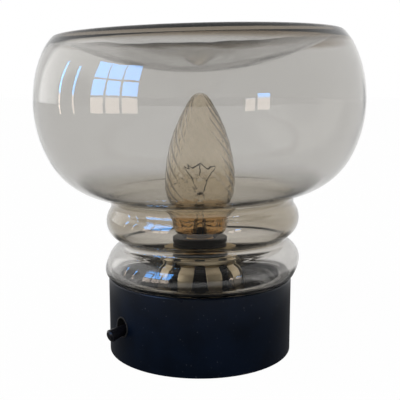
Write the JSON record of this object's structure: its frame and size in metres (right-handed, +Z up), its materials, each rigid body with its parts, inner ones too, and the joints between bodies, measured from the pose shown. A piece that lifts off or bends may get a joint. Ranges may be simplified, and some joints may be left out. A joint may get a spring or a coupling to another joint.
{
  "type": "globe table lamp",
  "caption": "Compact table lamp: a smoked blown-glass globe with a ringed neck lifts off a round metal base with a bat-lever switch and a candle bulb inside.",
  "frame": {"origin": "on the table under the lamp's vertical axis, at the underside of the felt", "axes": "+Z up along the lamp's axis, the pictured side towards -Y with +X to its right, the cord inlet towards +Y"},
  "size_m": [0.1564, 0.1564, 0.1536],
  "materials": {
    "base_paint": "satin blue-black lacquer",
    "zinc": "zinc-plated steel",
    "felt": "pressed black felt",
    "black_rubber": "matte",
    "bakelite": "moulded black thermoset",
    "insulator": "moulded insulator",
    "brass": "drawn brass",
    "crown_brass": "satin stamped brass",
    "smoked_glass": "blown, warm smoke grey",
    "tinted_glass": "spirally fluted, smoky amber",
    "clear_glass": "clear",
    "black_glass": "black vitrite",
    "solder": "dull solder",
    "dark_steel": "dark wire and plated steel",
    "black_plastic": "moulded",
    "lever_black": "black moulded lever",
    "block_plastic": "natural polyamide",
    "lead_brown": "extruded sleeve",
    "lead_blue": "extruded sleeve"
  },
  "bodies": {
    "base": {"base_shell": "base_paint", "bottom_plate": "zinc", "felt_pad": "felt", "cover_posts": "zinc", "cover_screws": "zinc", "cable_grommet": "black_rubber", "threaded_nipple": "zinc", "nipple_washer": "zinc", "nipple_nut": "zinc", "holder_base": "bakelite", "holder_shell": "bakelite", "contact_core": "insulator", "screw_shell": "brass", "contact_tongue": "brass", "contact_rivet": "brass", "holder_terminals": "brass", "holder_terminal_screws": "zinc", "spring_crown": "crown_brass", "seat_gasket": "black_rubber", "switch_housing": "black_plastic", "switch_plate": "insulator", "switch_terminals": "brass", "switch_bracket": "zinc", "switch_nut": "dark_steel", "lever_pin": "dark_steel", "terminal_block": "block_plastic", "terminal_inserts": "brass", "terminal_clamp_screws": "zinc", "block_mount_screw": "zinc", "lead_live": "lead_brown", "lead_switched": "lead_brown", "lead_neutral": "lead_blue"},
    "shade": {"glass_globe": "smoked_glass"},
    "bulb_tip": {"bulb_contact": "solder"},
    "bulb": {"bulb_glass": "tinted_glass", "bulb_cap": "brass", "bulb_insulator": "black_glass", "bulb_stem": "clear_glass", "bulb_wires": "dark_steel", "bulb_filament": "dark_steel"},
    "lever": {"switch_lever": "lever_black", "switch_plunger": "insulator", "switch_spring": "dark_steel"},
    "rocker": {"contact_rocker": "brass"}
  },
  "joints": [
    {"name": "shade_lift", "type": "slide", "parent": "base", "child": "shade", "axis": [0, 0, 1], "range_m": [0, 0.105]},
    {"name": "bulb_rise", "type": "slide", "parent": "base", "child": "bulb_tip", "axis": [0, 0, 1], "range_m": [0, 0.0078]},
    {"name": "bulb_turn", "type": "hinge", "parent": "bulb_tip", "child": "bulb", "pos_m": [0, 0, 0.0485], "axis": [0, 0, 1], "range_deg": [0, 990]},
    {"name": "switch_toggle", "type": "hinge", "parent": "base", "child": "lever", "pos_m": [-0.03139, -0.02281, 0.018], "axis": [-0.5878, 0.809, 0], "range_deg": [0, 28]},
    {"name": "contact_rock", "type": "hinge", "parent": "base", "child": "rocker", "pos_m": [-0.02176, -0.01581, 0.018], "axis": [-0.5878, 0.809, 0], "range_deg": [-16, 0]}
  ],
  "couplings": [
    {"joint": "bulb_rise", "follows": "bulb_turn", "m_per_rad": 0.00044914},
    {"joint": "contact_rock", "follows": "switch_toggle", "ratio": -0.57143}
  ]
}
